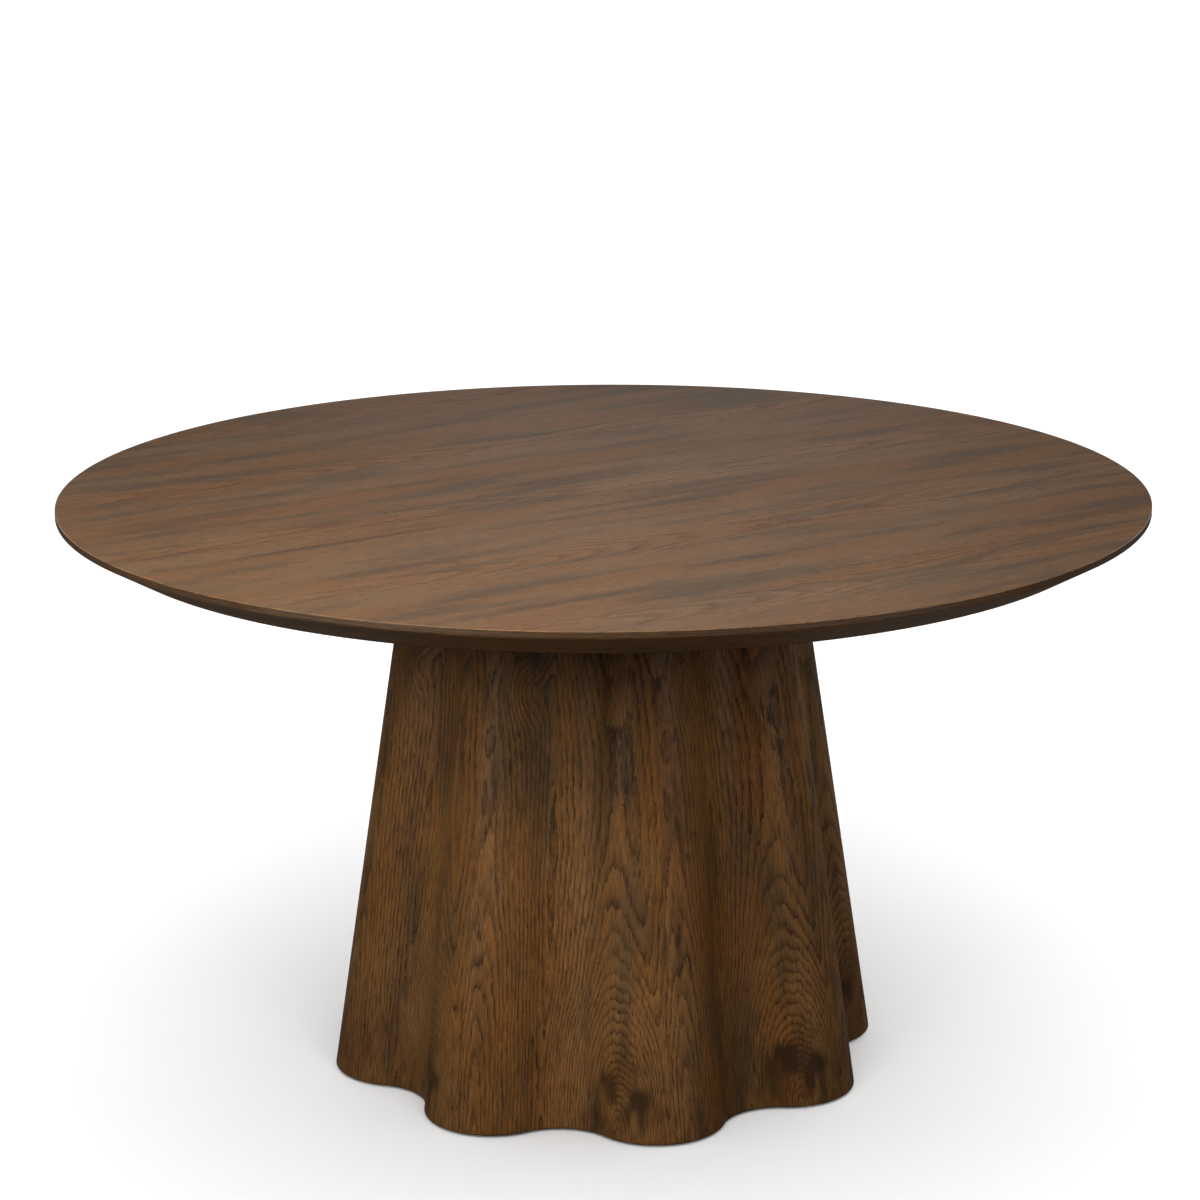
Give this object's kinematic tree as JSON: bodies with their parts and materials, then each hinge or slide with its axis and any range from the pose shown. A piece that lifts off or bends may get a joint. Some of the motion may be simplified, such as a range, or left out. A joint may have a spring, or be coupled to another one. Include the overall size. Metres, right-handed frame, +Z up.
{
  "type": "round pedestal table",
  "caption": "Round dining table: a thin top with a bevelled rim on a flared drum pedestal of upright rounded lobes, with hidden screw-down levelling glides.",
  "frame": {"origin": "on the floor, in the middle of the pedestal's foot", "axes": "+Z up, +X out through the crest of one lobe and one levelling glide"},
  "size_m": [1.4, 1.4, 0.76],
  "materials": {
    "oak_top": "satin",
    "oak_edge": "satin",
    "oak_shell": "satin",
    "oak_backing": "matte",
    "stained_plywood": "matte",
    "plywood": "matte",
    "pine": "matte",
    "board": "matte",
    "zinc": "zinc plated",
    "glide_plastic": "matte",
    "felt": "felt"
  },
  "bodies": {
    "table": {"top_face_veneer": "oak_top", "top_core": "board", "top_backing_veneer": "oak_backing", "lipping_1": "oak_edge", "lipping_2": "oak_edge", "lipping_3": "oak_edge", "lipping_4": "oak_edge", "lipping_5": "oak_edge", "lipping_6": "oak_edge", "lipping_7": "oak_edge", "lipping_8": "oak_edge", "top_inserts": "zinc", "mounting_disc": "stained_plywood", "mounting_bolts": "zinc", "mounting_washers": "zinc", "disc_screws": "zinc", "post_screws": "zinc", "head_former": "plywood", "middle_former": "plywood", "foot_former": "plywood", "centre_post": "pine", "shell_panel_1": "oak_shell", "shell_panel_2": "oak_shell", "shell_panel_3": "oak_shell", "shell_panel_4": "oak_shell", "shell_panel_5": "oak_shell", "shell_panel_6": "oak_shell", "shell_panel_7": "oak_shell", "shell_panel_8": "oak_shell", "seam_strip_lower_1": "pine", "seam_strip_lower_2": "pine", "seam_strip_lower_3": "pine", "seam_strip_lower_4": "pine", "seam_strip_lower_5": "pine", "seam_strip_lower_6": "pine", "seam_strip_lower_7": "pine", "seam_strip_lower_8": "pine", "seam_strip_upper_1": "pine", "seam_strip_upper_2": "pine", "seam_strip_upper_3": "pine", "seam_strip_upper_4": "pine", "seam_strip_upper_5": "pine", "seam_strip_upper_6": "pine", "seam_strip_upper_7": "pine", "seam_strip_upper_8": "pine", "glide_nuts": "zinc"},
    "glide_foot_1": {"glide_pad_1": "glide_plastic", "glide_felt_1": "felt"},
    "glide_screw_1": {"glide_stem_1": "zinc"},
    "glide_foot_2": {"glide_pad_2": "glide_plastic", "glide_felt_2": "felt"},
    "glide_screw_2": {"glide_stem_2": "zinc"},
    "glide_foot_3": {"glide_pad_3": "glide_plastic", "glide_felt_3": "felt"},
    "glide_screw_3": {"glide_stem_3": "zinc"},
    "glide_foot_4": {"glide_pad_4": "glide_plastic", "glide_felt_4": "felt"},
    "glide_screw_4": {"glide_stem_4": "zinc"}
  },
  "joints": [
    {"name": "glide_1_travel", "type": "slide", "parent": "table", "child": "glide_foot_1", "axis": [0, 0, -1], "range_m": [0, 0.01]},
    {"name": "glide_1_turn", "type": "hinge", "parent": "glide_foot_1", "child": "glide_screw_1", "pos_m": [0.295, 0, 0.02], "axis": [0, 0, -1], "range_deg": [0, 2430]},
    {"name": "glide_2_travel", "type": "slide", "parent": "table", "child": "glide_foot_2", "axis": [0, 0, -1], "range_m": [0, 0.01]},
    {"name": "glide_2_turn", "type": "hinge", "parent": "glide_foot_2", "child": "glide_screw_2", "pos_m": [0, 0.295, 0.02], "axis": [0, 0, -1], "range_deg": [0, 2430]},
    {"name": "glide_3_travel", "type": "slide", "parent": "table", "child": "glide_foot_3", "axis": [0, 0, -1], "range_m": [0, 0.01]},
    {"name": "glide_3_turn", "type": "hinge", "parent": "glide_foot_3", "child": "glide_screw_3", "pos_m": [-0.295, 0, 0.02], "axis": [0, 0, -1], "range_deg": [0, 2430]},
    {"name": "glide_4_travel", "type": "slide", "parent": "table", "child": "glide_foot_4", "axis": [0, 0, -1], "range_m": [0, 0.01]},
    {"name": "glide_4_turn", "type": "hinge", "parent": "glide_foot_4", "child": "glide_screw_4", "pos_m": [0, -0.295, 0.02], "axis": [0, 0, -1], "range_deg": [0, 2430]}
  ],
  "couplings": [
    {"joint": "glide_1_turn", "follows": "glide_1_travel", "rad_per_m": 4188.8},
    {"joint": "glide_2_turn", "follows": "glide_2_travel", "rad_per_m": 4188.8},
    {"joint": "glide_3_turn", "follows": "glide_3_travel", "rad_per_m": 4188.8},
    {"joint": "glide_4_turn", "follows": "glide_4_travel", "rad_per_m": 4188.8}
  ]
}
